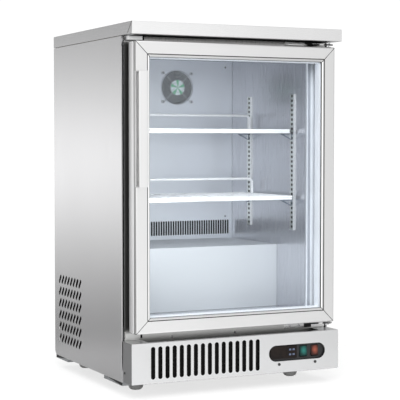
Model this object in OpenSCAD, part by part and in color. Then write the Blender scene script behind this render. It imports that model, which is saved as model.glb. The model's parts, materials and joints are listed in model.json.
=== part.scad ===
// Under counter fridge: a free-standing stainless cabinet with one hinged glass door.
// X runs left to right, Y from the door to the back, Z up. The origin is on the floor,
// at the centre of the footprint. Lengths are in millimetres.

/* [Cabinet] */
// Width over the side panels and the worktop
unit_w = 600; // [590:1:610]
// Depth of the cabinet behind its front plane
cabinet_d = 500; // [490:1:520]
// Height from the floor to the top of the worktop
unit_h = 936; // [930:1:950]
// How far the worktop stands out in front of the cabinet
worktop_reach = 69; // [66:1:75]
// Height of the worktop's folded edge
worktop_lip = 31; // [28:1:34]
// Height of the side panels' bottom edge above the floor
panel_z = 36; // [34:1:38]
// Thickness of the casing sheet
sheet = 1.2; // [1:0.1:1.5]

/* [Storage] */
// Half the width inside the liner
liner_half_w = 238; // [232:1:240]
// Height of the storage floor above the floor
storage_floor_z = 182; // [180:1:186]
// Height of the liner's ceiling
ceiling_z = 878; // [874:1:880]
// Depth of the step's front face behind the front plane
step_y = 168; // [160:1:175]
// Height of the step's top
step_z = 355; // [350:1:360]
// Height of the upper shelf's top wires
upper_shelf_z = 675; // [662.3:12.7:687.7]
// Height of the lower shelf's top wires
lower_shelf_z = 495; // [495:12.7:507.7]

/* [Door] */
// Width of the door
door_w = 572; // [566:1:574]
// Height of the door
door_h = 727; // [725:1:729]
// Height of the door's bottom edge above the floor
door_z = 162.5; // [162:0.1:164]
// Width of the door's frame profiles
profile_w = 39; // [38:1:42]
// Length of the handle
handle_l = 286; // [240:1:320]

/* [Base] */
// Number of air slots in the base panel
slot_count = 16; // [10:1:16]
// Distance between the air slots
slot_pitch = 19.7; // [19:0.1:20]
// Radius of the levelling feet
foot_r = 19.5; // [17:0.5:21]

/* [Hidden] */
$fn = 48;

half_w = unit_w / 2;
lip_z = unit_h - worktop_lip;
gap = 0.5;

// Depth positions are measured from the cabinet's front plane, where y is 0.
back_skin_y = cabinet_d - 2.9;
handle_face_y = -87;
front_y = (-handle_face_y - cabinet_d) / 2;
frame_y = 3;
throat_y = 36;
duct_y = 443;
liner_back_y = 472;
panel_front_y = -60;

door_back_y = -15;
door_t = 43;
door_half_w = door_w / 2;
door_top_z = door_z + door_h;
door_face_y = door_back_y - door_t;
glass_inset = 34.5;
pane_t = 4;
inner_pane_u = 8;
outer_pane_u = 33;

hinge_x = 276;
hinge_y = -36;
pin_r = 4;
bush_bore_r = 4.05;
bush_r = 7;

floor_pan_t = 2;
compartment_y = step_y + 37;
compartment_top_z = 315;
storage_base_z = 142;

base_panel_z = 38;
base_panel_top_z = 140.5;
window_x = 172.7;
window_z = 88.8;
window_l = 169;
window_r = 21;
thermostat_x = 134;
thermostat_z = 90;
thermostat_w = 79;
thermostat_h = 33;
thermostat_face_y = -56.5;
rocker_y = -49.5;
rocker_w = 21;
rocker_h = 27;
rocker_tilt = -6;
green_x = 194;
red_x = 228;
rocker_z = 89.5;
button_travel = 0.8;
button_x = [152.5, 163];
button_z = [83.8, 96.6];

fan_x = 57.8;
fan_z = 798;
fan_screw_dx = 45;
fan_screw_dz = 41;

shelf_half_w = 226;
shelf_front_y = 62;
shelf_back_y = 350;
guard_y = 291;
guard_rise = 44;
upper_shelf_back = 11;
lower_shelf_forward = 5;
frame_wire_r = 3.2;
grid_wire_r = 1.8;
grid_pitch = 30;

pilaster_z = 400;
pilaster_l = 370;
pilaster_w = 20;
pilaster_depth = 3.6;
pilaster_pitch = 12.7;
pilaster_front_y = 80;
pilaster_rear_y = 329;

foot_x = 229;
foot_front_y = 78;
foot_rear_y = 440;
bracket_z = 26;
stem_r = 5;

compressor_x = 105;
compressor_y = 385;
compressor_r = 72;
condenser_y = 60;
condenser_depth = 60;
condenser_x = -40;
condenser_w = 260;
condenser_low_z = 46;
condenser_high_z = 136;
tube_z = [58, 80, 102, 124];
condenser_fan_z = 160;
condenser_fan_y = 232;
inlet_left_x = -283;
inlet_right_x = -215;
inlet_top_z = 110;
liquid_pipe_x = -200;

// Moves a sub-part from the cabinet's front plane to the model's own origin.
module in_place() {
    translate([0, front_y, 0]) children();
}

// A block between two opposite corners.
module block(low, high) {
    translate(low) cube(high - low);
}

module both_sides() {
    children();
    mirror([1, 0, 0]) children();
}

// A round rod from one point to another.
module rod(from, to, r) {
    run = to - from;
    length = norm(run);
    translate(from) rotate([0, acos(run[2] / length), atan2(run[1], run[0])]) cylinder(h = length, r = r);
}

// Round rods along a list of points, with a slightly proud ball at each bend.
module bent_rod(points, r) {
    for (i = [0 : len(points) - 2]) rod(points[i], points[i + 1], r);
    for (i = [1 : len(points) - 2]) translate(points[i]) sphere(r = r + 0.15);
}

// Round rods around a closed list of points, with a slightly proud ball at each corner.
module rod_loop(points, r) {
    last = len(points) - 1;
    for (i = [0 : last]) {
        rod(points[i], points[i == last ? 0 : i + 1], r);
        translate(points[i]) sphere(r = r + 0.15);
    }
}

// A cylinder whose axis runs along Y.
module y_cylinder(x, y, z, r, h) {
    translate([x, y, z]) rotate([-90, 0, 0]) cylinder(h = h, r = r);
}

// A cylinder whose axis runs along X.
module x_cylinder(x, y, z, r, h) {
    translate([x, y, z]) rotate([0, 90, 0]) cylinder(h = h, r = r);
}

// A cutter for an upright round-ended slot through a sheet that faces Y.
module upright_slot(x, y, z_low, z_high, w, depth) {
    block([x - w / 2, y, z_low + w / 2], [x + w / 2, y + depth, z_high - w / 2]);
    y_cylinder(x, y, z_low + w / 2, w / 2, depth);
    y_cylinder(x, y, z_high - w / 2, w / 2, depth);
}

// A pill-shaped block that faces Y.
module pill(r, length, y, depth) {
    reach = length / 2 - window_r;
    block([window_x - reach, y, window_z - r], [window_x + reach, y + depth, window_z + r]);
    y_cylinder(window_x - reach, y, window_z, r, depth);
    y_cylinder(window_x + reach, y, window_z, r, depth);
}

// ---- Casing ----

module corner_seams() {
    seam = 2.2;
    depth = 0.7;
    both_sides() for (y = [-worktop_reach, cabinet_d])
        translate([half_w - depth, y, unit_h]) rotate([y < 0 ? 45 : 135, 0, 0])
            translate([0, -seam / 2, -worktop_lip * 1.25]) cube([1, seam, worktop_lip * 1.25]);
}

module worktop() {
    flange = 18;
    color("gainsboro") in_place() {
        difference() {
            block([-half_w, -worktop_reach, lip_z], [half_w, cabinet_d, unit_h]);
            block([-half_w + sheet, sheet - worktop_reach, lip_z + sheet],
                [half_w - sheet, cabinet_d - sheet, unit_h - sheet]);
            block([-half_w + flange, flange - worktop_reach, lip_z - 1],
                [half_w - flange, cabinet_d - flange, lip_z + 2 * sheet]);
            corner_seams();
        }
    }
}

module worktop_board() {
    color("burlywood") in_place()
        block([-half_w + 2 * sheet, 2 * sheet - worktop_reach, lip_z + sheet + gap],
            [half_w - 2 * sheet, cabinet_d - 2 * sheet, unit_h - sheet - gap]);
}

module side_vents() {
    rows = 6;
    columns = 8;
    lean = 38;
    slot_r = 5.1;
    reach = 9.6;
    for (row = [0 : rows - 1]) for (column = [0 : columns - 1])
        translate([0, 297 + 22.5 * column, 255 - 33.1 * row]) rotate([lean, 0, 0]) {
            block([-1, -slot_r, -reach], [3, slot_r, reach]);
            x_cylinder(-1, 0, reach, slot_r, 4);
            x_cylinder(-1, 0, -reach, slot_r, 4);
        }
}

// One side panel, from its outer face at x = 0 inwards, with front and rear returns.
module side_panel() {
    front_return = 4;
    top = lip_z - 1.2;
    difference() {
        union() {
            block([0, 0, panel_z], [sheet, cabinet_d - gap, top]);
            block([0, 0, panel_z], [front_return, sheet, top]);
            block([0, cabinet_d - sheet - gap, panel_z + 12], [12, cabinet_d - gap, top]);
        }
        side_vents();
        translate([-1, cabinet_d, panel_z]) rotate([45, 0, 0]) cube([20, 16, 16], center = true);
    }
}

module left_side_panel() {
    color("silver") in_place() translate([-half_w, 0, 0]) side_panel();
}

module right_side_panel() {
    color("silver") in_place() mirror([1, 0, 0]) translate([-half_w, 0, 0]) side_panel();
}

module back_panel() {
    color("silver") in_place()
        block([-half_w + 13, back_skin_y, compartment_top_z + 2],
            [half_w - 13, back_skin_y + sheet, lip_z - gap]);
}

module rear_service_grille() {
    y = back_skin_y;
    color("silver") in_place() difference() {
        block([-half_w + 13, y, panel_z + 30], [half_w - 13, y + sheet, compartment_top_z]);
        for (x = [-180 : 20 : 240]) upright_slot(x, y - 1, 80, 170, 8, 4);
        for (x = [-240 : 20 : 240]) upright_slot(x, y - 1, 190, 280, 8, 4);
        block([-half_w, y - 1, panel_z], [inlet_right_x + 3, y + 3, inlet_top_z + 4]);
    }
}

module front_frame() {
    half_face = half_w - 8.5;
    opening_top_z = 866;
    color("silver") in_place() {
        difference() {
            block([-half_face, frame_y, 133], [half_face, frame_y + sheet, lip_z - gap]);
            block([-liner_half_w, 0, storage_floor_z], [liner_half_w, 10, opening_top_z]);
        }
        difference() {
            block([-liner_half_w - sheet, frame_y, storage_floor_z - sheet],
                [liner_half_w + sheet, throat_y, opening_top_z + sheet]);
            block([-liner_half_w, 0, storage_floor_z], [liner_half_w, throat_y + 1, opening_top_z]);
        }
    }
}

// ---- Storage compartment ----

// The side view of the storage space, drawn with Y to the right and Z up.
module storage_outline(front, grow) {
    polygon([[front, storage_floor_z - grow], [step_y + grow, storage_floor_z - grow],
        [step_y + grow, step_z - grow], [liner_back_y + grow, step_z - grow],
        [liner_back_y + grow, ceiling_z + grow], [front, ceiling_z + grow]]);
}

// Extrudes a side view across the cabinet.
module across(half_length) {
    rotate([90, 0, 90]) translate([0, 0, -half_length]) linear_extrude(2 * half_length) children();
}

module inner_liner() {
    liner_sheet = 1;
    start = throat_y + gap;
    color("lightsteelblue") in_place() difference() {
        across(liner_half_w + liner_sheet) storage_outline(start, liner_sheet);
        across(liner_half_w) storage_outline(start - 1, 0);
        block([-liner_half_w, step_y - 2, storage_floor_z], [liner_half_w, step_y + 1, step_z + 1]);
        block([-liner_half_w, step_y - 2, step_z - 2],
            [liner_half_w, liner_back_y - 4, step_z + 1]);
    }
}

module compressor_step() {
    reach = liner_half_w - gap;
    step_sheet = 1.2;
    back = liner_back_y - 5;
    color("lightsteelblue") in_place() {
        block([-reach, step_y, storage_floor_z + gap], [reach, step_y + step_sheet, step_z]);
        block([-reach, step_y, step_z - step_sheet], [reach, back, step_z]);
    }
}

module foam_insulation() {
    skin = sheet + 1;
    grow = 2;
    color("khaki") in_place() difference() {
        across(half_w - skin) polygon([[frame_y + 2, storage_base_z], [compartment_y, storage_base_z],
            [compartment_y, compartment_top_z + 1], [cabinet_d - 3, compartment_top_z + 1],
            [cabinet_d - 3, lip_z - 1], [frame_y + 2, lip_z - 1]]);
        across(liner_half_w + grow) storage_outline(0, grow);
        difference() {
            block([-half_w, 0, storage_base_z - 1], [half_w, 14, unit_h]);
            block([1 - half_w + 14, 0, storage_base_z], [half_w - 15, 15, unit_h]);
        }
        both_sides() block([half_w - 15, cabinet_d - 15, 0], [half_w, cabinet_d, unit_h]);
    }
}

// A wall strip with one row of clip slots, from the wall at x = 0 inwards.
module pilaster_strip() {
    slots = floor(pilaster_l / pilaster_pitch);
    slot_w = 10.5;
    web = 1.2;
    difference() {
        block([-pilaster_depth, -pilaster_w / 2, 0], [0, pilaster_w / 2, pilaster_l]);
        block([-pilaster_depth + web, web - pilaster_w / 2, -1],
            [1, pilaster_w / 2 - web, pilaster_l + 1]);
        for (i = [0 : slots - 1])
            translate([-pilaster_depth - 1, -slot_w / 2, 6 + pilaster_pitch * i]) cube([4, slot_w, 6.5]);
    }
}

module right_pilaster(y) {
    color("whitesmoke") in_place()
        translate([liner_half_w - 0.2, y, pilaster_z]) pilaster_strip();
}

module left_pilaster(y) {
    mirror([1, 0, 0]) right_pilaster(y);
}

module pilaster_front_left() {
    left_pilaster(pilaster_front_y);
}

module pilaster_front_right() {
    right_pilaster(pilaster_front_y);
}

module pilaster_rear_left() {
    left_pilaster(pilaster_rear_y);
}

module pilaster_rear_right() {
    right_pilaster(pilaster_rear_y);
}

// A clip hooked into a wall strip: a flat triangular frame whose top edge carries a shelf.
module shelf_clip(y, seat_z) {
    wall_x = liner_half_w - pilaster_depth - 0.2;
    bar = 2.6;
    drop = 17;
    reach = 34;
    translate([wall_x, y + 1.2, seat_z - 0.2]) rotate([90, 0, 0]) linear_extrude(2.4) difference() {
        polygon([[-0.1, 0], [-reach, 0], [-reach, -bar], [-4, -drop], [-0.1, -drop], [-0.1, -drop + bar + 1],
            [2.4, -drop + bar + 1], [2.4, -drop + 2 * bar + 1], [-0.1, -drop + 2 * bar + 1]]);
        polygon([[-bar, -bar], [-reach + 9, -bar], [-4.5, bar - drop], [-bar, bar - drop]]);
    }
}

module shelf_clips() {
    color("dimgray") in_place() both_sides()
        for (y = [pilaster_front_y, pilaster_rear_y], shelf_z = [upper_shelf_z, lower_shelf_z])
            shelf_clip(y, shelf_seat_z(shelf_z));
}

// ---- Shelves ----

// The height of the underside of a shelf's side rails.
function shelf_seat_z(shelf_z) = shelf_z - 2 * frame_wire_r - 5;

// A coated wire shelf with a raised guard near its back edge.
module wire_shelf(shelf_z) {
    edge_z = shelf_z - frame_wire_r;
    inner = shelf_half_w - frame_wire_r;
    front = shelf_front_y + frame_wire_r;
    back = shelf_back_y - frame_wire_r;
    wires = floor(inner / grid_pitch);
    grid_z = shelf_z - grid_wire_r - 0.3;
    cross_z = grid_z - grid_wire_r - 1.9;
    rail_r = 2.6;
    rail_z = shelf_seat_z(shelf_z) + rail_r;
    guard_r = 3.6;
    guard_x = inner - 1;
    guard_z = shelf_z + guard_rise - guard_r;
    bend = 8;
    rod_loop([[-inner, front, edge_z], [inner, front, edge_z], [inner, back, edge_z], [-inner, back, edge_z]],
        frame_wire_r);
    bent_rod([[-inner, back, rail_z], [-inner, front, rail_z], [inner, front, rail_z], [inner, back, rail_z]],
        rail_r);
    for (side = [-1, 1], y = [front + 12, guard_y - 12, back - 12])
        rod([side * inner, y, rail_z], [side * inner, y, edge_z + 0.7], 2.1);
    for (i = [-wires : wires]) rod([i * grid_pitch, front, grid_z], [i * grid_pitch, back, grid_z], grid_wire_r);
    for (y = [front + 95, front + 190]) rod([-inner, y, cross_z], [inner, y, cross_z], 2.2);
    bent_rod([[-guard_x, guard_y, edge_z], [-guard_x, guard_y, guard_z - bend],
        [bend - guard_x, guard_y, guard_z], [guard_x - bend, guard_y, guard_z],
        [guard_x, guard_y, guard_z - bend], [guard_x, guard_y, edge_z]], guard_r);
}

module upper_shelf() {
    color("white") in_place() translate([0, upper_shelf_back, 0]) wire_shelf(upper_shelf_z);
}

module lower_shelf() {
    color("white") in_place() translate([0, -lower_shelf_forward, 0]) wire_shelf(lower_shelf_z);
}

// ---- Cold air duct ----

module duct_panel() {
    slots = 59;
    slot_w = 5.4;
    reach = 223.9;
    inner = liner_half_w - gap;
    color("lightsteelblue") in_place() difference() {
        block([-inner, duct_y, step_z + gap], [inner, duct_y + sheet, ceiling_z - gap]);
        y_cylinder(fan_x, duct_y - 1, fan_z, 47.5, 4);
        for (i = [0 : slots - 1])
            translate([2 * reach * i / (slots - 1) - reach - slot_w / 2, duct_y - 1, 368])
                cube([slot_w, 4, 41]);
    }
}

module fan_guard() {
    rings = 7;
    wire_r = 1.05;
    color("gainsboro") in_place() translate([fan_x, duct_y - 3.4, fan_z]) rotate([90, 0, 0]) {
        for (i = [0 : rings - 1]) rotate_extrude() translate([25 + 4 * i, 0]) circle(r = wire_r);
        translate([0, 0, -2.9]) cylinder(h = 3.8, r = 22.6);
        for (i = [0 : 3]) rotate([0, 0, 45 + 90 * i]) translate([20, 0, -1.4])
            rotate([0, 90, 0]) cylinder(h = 38, r = 1.15);
        for (x = [-1, 1], z = [-1, 1]) translate([fan_screw_dx * x, fan_screw_dz * z, -2.6]) {
            cylinder(h = 2.2, r = 5);
        }
    }
}

// A bladed wheel that faces -Y, centred on the Y axis.
module fan_wheel(hub_r, tip_r, blades, depth, pitch_angle) {
    y_cylinder(0, 0, 0, hub_r, depth);
    for (i = [0 : blades - 1]) rotate([0, 360 * i / blades, 0])
        translate([0, depth / 2, 0]) rotate([0, 0, pitch_angle]) difference() {
            block([-depth / 2, -0.8, hub_r - 3], [depth / 2, 0.8, tip_r - 1]);
            translate([depth / 2, -2, tip_r - 1]) rotate([0, 45, 0]) cube([10, 4, 10], center = true);
        }
}

module evaporator_fan_motor() {
    frame_half = 46;
    frame_depth = 22;
    y = duct_y + sheet + gap;
    color("dimgray") in_place() translate([fan_x, y, fan_z]) {
        difference() {
            block([-frame_half, 0, -frame_half], [frame_half, frame_depth, frame_half]);
            y_cylinder(0, -1, 0, 43.5, frame_depth + 2);
            both_sides() for (z = [-1, 1]) y_cylinder(39, -1, 39 * z, 2.2, frame_depth + 2);
        }
        y_cylinder(0, 0, 0, 23, 8);
        for (i = [0 : 3]) rotate([0, 45 + 90 * i, 0]) block([-2, 0, 20], [2, 3, 45]);
    }
}

module evaporator_fan_blade() {
    color("black") in_place() translate([fan_x, duct_y + sheet + gap + 9, fan_z])
        fan_wheel(20, 41.5, 7, 10, 35);
}

module evaporator_coil() {
    low = [-190, 447, 430];
    high = [30, 468, 700];
    fins = 28;
    tubes = 7;
    pitch = (high[0] - low[0]) / (fins - 1);
    color("silver") in_place() {
        for (i = [0 : fins - 1])
            translate([low[0] + pitch * i, low[1], low[2]]) cube([0.6, high[1] - low[1], high[2] - low[2]]);
        for (i = [0 : tubes - 1])
            x_cylinder(low[0] - 8, 457.5, low[2] + 22 + 38 * i, 4, high[0] - low[0] + 16);
        for (i = [0 : 2 : tubes - 2]) rod([high[0] + 8, 457.5, low[2] + 22 + 38 * i],
            [high[0] + 8, 457.5, low[2] + 60 + 38 * i], 4);
        for (i = [1 : 2 : tubes - 2]) rod([low[0] - 8, 457.5, low[2] + 22 + 38 * i],
            [low[0] - 8, 457.5, low[2] + 60 + 38 * i], 4);
    }
}

// ---- Door ----

// Cross-section of a frame profile: x is the distance in from the door's edge, y the
// distance forward from its back face.
module door_profile() {
    corner = 4;
    front = door_t;
    rounded = [for (a = [180 : -15 : 90]) [corner + corner * cos(a), front - corner + corner * sin(a)]];
    difference() {
        polygon(concat([[0, 0], [0, 26], [1.2, 27], [1.2, 29.5], [0, 30.5]], rounded,
            [[31.1, front], [31.4, front - 2.4], [33, front - 2.4], [33.3, front], [36.5, front],
            [profile_w, front - 2], [profile_w, 37.5], [34, 37.5], [34, 7.5], [profile_w, 7.5],
            [profile_w, 1], [profile_w - 1, 0]]));
        translate([3.2, 3.2]) square([27, 34]);
    }
}

// One mitred member of the door's frame, with its outer edge centred on the X axis.
module door_member(length) {
    mitre_gap = 1;
    intersection() {
        rotate(180, [1, 0, 1]) translate([0, 0, -length / 2]) linear_extrude(length) door_profile();
        rotate([90, 0, 0]) linear_extrude(4 * door_t, center = true)
            polygon([[-length / 2 + mitre_gap, 0], [length / 2 - mitre_gap, 0],
                [length / 2 - profile_w - mitre_gap, profile_w],
                [-length / 2 + profile_w + mitre_gap, profile_w]]);
    }
}

module hinge_bores() {
    for (z = [door_z, door_top_z]) translate([hinge_x, hinge_y, z - 20]) cylinder(h = 40, r = bush_r + 0.1);
}

module door_bottom_rail() {
    color("white") in_place() difference() {
        translate([0, door_back_y, door_z]) door_member(door_w);
        hinge_bores();
    }
}

module door_top_rail() {
    color("white") in_place() difference() {
        translate([0, door_back_y, door_top_z]) mirror([0, 0, 1]) door_member(door_w);
        hinge_bores();
    }
}

module left_stile() {
    translate([-door_half_w, door_back_y, door_z + door_h / 2]) rotate([0, 90, 0]) door_member(door_h);
}

module door_left_stile() {
    color("white") in_place() left_stile();
}

module door_right_stile() {
    color("white") in_place() difference() {
        mirror([1, 0, 0]) left_stile();
        hinge_bores();
    }
}

module glass_pane(u) {
    half = door_half_w - glass_inset;
    block([-half, door_back_y - u - pane_t, door_z + glass_inset],
        [half, door_back_y - u, door_top_z - glass_inset]);
}

module outer_glass() {
    color("lightblue", 0.3) in_place() glass_pane(outer_pane_u);
}

module inner_glass() {
    color("lightblue", 0.3) in_place() glass_pane(inner_pane_u);
}

// A rectangular ring that follows the door's edge at a given distance.
module door_ring(inset, w, y_low, y_high) {
    half = door_half_w - inset;
    difference() {
        block([-half, y_low, door_z + inset], [half, y_high, door_top_z - inset]);
        block([-half + w, y_low - 1, door_z + inset + w], [half - w, y_high + 1, door_top_z - inset - w]);
    }
}

module glass_spacer() {
    y = door_back_y - outer_pane_u;
    depth = outer_pane_u - inner_pane_u - pane_t;
    color("silver") in_place() door_ring(glass_inset + 1, 7, y + 0.1, y + depth - 0.1);
}

module door_gasket() {
    color("black") in_place() {
        door_ring(4, 16, door_back_y + 0.1, door_back_y + 3);
        door_ring(6, 11, door_back_y + 3, door_back_y + 13.3);
    }
}

module door_handle() {
    low_x = -288;
    high_x = -265.2;
    back = door_face_y - 0.1;
    low_z = 529;
    high_z = low_z + handle_l;
    color("white") in_place() {
        block([low_x, handle_face_y, low_z], [high_x, handle_face_y + 3, high_z]);
        block([high_x - 3, handle_face_y, low_z], [high_x, back, high_z]);
        block([low_x, back - 2, low_z], [high_x, back, high_z]);
        block([low_x, back - 4, low_z], [low_x + 3, back, high_z]);
        block([low_x, handle_face_y, low_z], [low_x + 2, handle_face_y + 5, high_z]);
        for (z = [low_z, high_z - 2]) block([low_x, handle_face_y, z], [high_x, back, z + 2]);
    }
}

module door_bush(flange_t, length) {
    difference() {
        union() {
            translate([0, 0, -flange_t]) cylinder(h = flange_t, r = 10);
            cylinder(h = length, r = bush_r);
        }
        translate([0, 0, -flange_t - 1]) cylinder(h = length + flange_t + 2, r = bush_bore_r);
    }
}

module door_bushes() {
    color("black") in_place() {
        translate([hinge_x, hinge_y, door_z]) door_bush(2, 16);
        translate([hinge_x, hinge_y, door_top_z]) mirror([0, 0, 1]) door_bush(1.5, 14);
    }
}

// ---- Hinges ----

// A hinge plate that stands forward from the front frame, with an upright fixing flange.
module hinge_plate(z, rise) {
    left = 168;
    right = 291;
    back = frame_y - 0.1;
    plate_t = 3.5;
    difference() {
        union() {
            block([left + 62, hinge_y - 3, z], [right, back, z + plate_t]);
            translate([hinge_x, hinge_y, z]) cylinder(h = plate_t, r = 14);
            block([left, -14, z], [right, back, z + plate_t]);
            block([left, back - plate_t, min(z, z + rise)], [right, back, max(z + plate_t, z + rise)]);
        }
        translate([hinge_x, hinge_y, z - 1]) cylinder(h = plate_t + 2, r = pin_r);
    }
}

module top_hinge_bracket() {
    color("silver") in_place() hinge_plate(895, 9);
}

module bottom_hinge_bracket() {
    color("silver") in_place() hinge_plate(156, -13);
}

module hinge_pins() {
    color("gray") in_place() translate([hinge_x, hinge_y, 0]) {
        translate([0, 0, 153]) cylinder(h = 3, r = 7);
        translate([0, 0, 156]) cylinder(h = door_z + 12 - 156, r = pin_r);
        translate([0, 0, 898.5]) cylinder(h = 3, r = 7);
        translate([0, 0, door_top_z - 10]) cylinder(h = 898.5 - door_top_z + 10, r = pin_r);
    }
}

// Blanking pieces in the corners where the hinges would go on a left-hung door.
module corner_plates() {
    back = frame_y - 0.1;
    joint_w = 2.4;
    color("whitesmoke") in_place() {
        difference() {
            block([-291, -22, 893], [-247, back, lip_z - 1]);
            block([-249 - joint_w, -23, 892], [-249, -19.5, lip_z]);
        }
        difference() {
            block([-291, back - 5, 145], [-245, back, 160.5]);
            block([-247 - joint_w, back - 6, 144], [-247, back - 2, 161]);
        }
    }
}

// ---- Base ----

module base_frame() {
    inner = half_w - 3;
    rail = 24;
    color("dimgray") in_place() difference() {
        union() {
            block([-inner, 6, panel_z], [inner, cabinet_d - 3, panel_z + floor_pan_t]);
            both_sides() {
                block([inner - 2, 6, panel_z], [inner, cabinet_d - 3, panel_z + rail]);
                block([inner - 110, 6, bracket_z], [inner, 130, panel_z]);
                block([inner - 110, 400, bracket_z], [inner, cabinet_d - 3, panel_z]);
            }
            block([-inner, cabinet_d - 5, panel_z], [inner, cabinet_d - 3, panel_z + rail]);
        }
        both_sides() for (y = [foot_front_y, foot_rear_y])
            translate([foot_x, y, bracket_z - 1]) cylinder(h = 14, r = stem_r + 0.3);
    }
}

// A levelling foot: a turned cup on a threaded stem.
module foot(x, y) {
    steps = 8;
    cup = [for (i = [0 : steps]) [9 + (foot_r - 9) * sin(90 * i / steps), 13 - 13 * cos(90 * i / steps)]];
    color("silver") in_place() translate([x, y, 0]) {
        rotate_extrude() polygon(concat([[0, 0]], cup, [[foot_r, 20], [foot_r - 2, 22], [0, 22]]));
        cylinder(h = bracket_z + 22, r = stem_r);
        translate([0, 0, 22]) cylinder(h = 3.5, r = 9, $fn = 6);
    }
}

module foot_front_left() {
    foot(-foot_x, foot_front_y);
}

module foot_front_right() {
    foot(foot_x, foot_front_y);
}

module foot_rear_left() {
    foot(-foot_x, foot_rear_y);
}

module foot_rear_right() {
    foot(foot_x, foot_rear_y);
}

module base_panel() {
    half = half_w - 1.5;
    flange = 14;
    gusset = 50;
    return_back_y = -4.3;
    first_slot_x = -240.6;
    color("white") in_place() difference() {
        union() {
            block([-half, panel_front_y, base_panel_z], [half, panel_front_y + sheet, base_panel_top_z]);
            both_sides() {
                block([half - sheet, panel_front_y, base_panel_z], [half, return_back_y, base_panel_top_z]);
                block([half - gusset, panel_front_y, base_panel_top_z - sheet], [half, -0.3, base_panel_top_z]);
            }
            for (z = [base_panel_z, base_panel_top_z - sheet])
                block([-half, panel_front_y, z], [half, panel_front_y + flange, z + sheet]);
        }
        for (i = [0 : slot_count - 1])
            upright_slot(first_slot_x + slot_pitch * i, panel_front_y - 1, 48.5, 130.5, 11.6, 4);
        pill(window_r, window_l, panel_front_y - 1, 4);
    }
}

module control_housing() {
    back_y = -34;
    face_y = -54;
    front_edge_y = panel_front_y + sheet + 0.1;
    half_l = window_l / 2 + 5;
    half_h = window_r + 4;
    color("black") in_place() difference() {
        block([window_x - half_l, front_edge_y, window_z - half_h], [window_x + half_l, back_y, window_z + half_h]);
        pill(window_r - 0.8, window_l, front_edge_y - 1, face_y - front_edge_y + 1);
        block([thermostat_x - thermostat_w / 2 - gap, front_edge_y - 1, thermostat_z - thermostat_h / 2 - gap],
            [thermostat_x + thermostat_w / 2 + gap, back_y + 1, thermostat_z + thermostat_h / 2 + gap]);
        for (x = [green_x, red_x])
            block([x - rocker_w / 2 - 0.7, face_y - 1, rocker_z - rocker_h / 2 - 1.5],
                [x + rocker_w / 2 + 0.7, back_y - 4, rocker_z + rocker_h / 2 + 1.5]);
    }
}

module thermostat_body() {
    color("#2b211e") in_place() difference() {
        block([thermostat_x - thermostat_w / 2, thermostat_face_y, thermostat_z - thermostat_h / 2],
            [thermostat_x + thermostat_w / 2, 4, thermostat_z + thermostat_h / 2]);
        for (x = button_x, z = button_z) y_cylinder(x, thermostat_face_y - 1, z, 1.9, 6);
        block([thermostat_x - 34, thermostat_face_y - 1, thermostat_z - 11],
            [thermostat_x + 9, thermostat_face_y + 0.5, thermostat_z + 11]);
    }
}

// A thermostat key whose cap stands clear of the face by its travel.
module key_button(x, z) {
    cap_back = thermostat_face_y - button_travel - 0.1;
    color("lightgray") in_place() {
        block([x - 3.2, cap_back - 1, z - 2.3], [x + 3.2, cap_back, z + 2.3]);
        y_cylinder(x, cap_back - 0.2, z, 1.5, 3.6);
    }
}

module button_up() {
    key_button(button_x[0], button_z[1]);
}

module button_down() {
    key_button(button_x[0], button_z[0]);
}

module button_set() {
    key_button(button_x[1], button_z[1]);
}

module button_defrost() {
    key_button(button_x[1], button_z[0]);
}

// A rocker whose front face is two flats that meet in a shallow valley.
module rocker(x) {
    half_h = rocker_h / 2;
    pivot_l = rocker_w + 1;
    in_place() translate([x, rocker_y, rocker_z]) rotate([rocker_tilt, 0, 0]) {
        across(rocker_w / 2) polygon([[-7.2, -half_h + 1], [-6.1, 0], [-7.2, half_h - 1], [-6.4, half_h],
            [2, half_h - 2], [5, 6], [5, -6], [2, 2 - half_h], [-6.4, -half_h]]);
        x_cylinder(-pivot_l / 2, 0, 0, 1.5, pivot_l);
    }
}

module green_rocker() {
    color("#1f8f6f") rocker(green_x);
}

module red_rocker() {
    color("#c05030") rocker(red_x);
}

// ---- Cooling unit ----

module compressor() {
    base_z = panel_z + floor_pan_t + 12;
    body_h = 150;
    color("#222222") in_place() translate([compressor_x, compressor_y, base_z]) {
        rotate_extrude() polygon(concat([[0, 0], [compressor_r - 14, 0]],
            [for (a = [-75 : 15 : 0]) [compressor_r - 14 + 14 * cos(a), 14 + 14 * sin(a)]],
            [for (a = [0 : 10 : 80]) [compressor_r * cos(a), body_h - 52 + 52 * sin(a)]],
            [[0, body_h]]));
        translate([-80, -55, 0]) cube([160, 110, 3]);
        translate([-compressor_r - 16, -22, 52]) cube([40, 44, 52]);
    }
}

module compressor_grommets() {
    pan_top = panel_z + floor_pan_t;
    color("black") in_place() translate([compressor_x, compressor_y, pan_top])
        for (x = [-72, 72], y = [-47, 47]) translate([x, y, 0]) cylinder(h = 12, r = 7);
}

module condenser_coil() {
    fins = 30;
    pitch = condenser_w / (fins - 1);
    left = condenser_x - condenser_w / 2;
    foot_z = panel_z + floor_pan_t;
    color("silver") in_place() {
        for (i = [0 : fins - 1])
            translate([left + pitch * i, condenser_y, condenser_low_z])
                cube([0.7, condenser_depth, condenser_high_z - condenser_low_z]);
        for (z = tube_z, y = [condenser_y + 10, condenser_y + 30, condenser_y + 50])
            x_cylinder(left - 10, y, z, 3.5, condenser_w + 20);
        for (x = [left - 10, left + condenser_w + 8])
            translate([x, condenser_y, foot_z]) cube([1.5, condenser_depth, condenser_high_z - foot_z]);
    }
}

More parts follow.
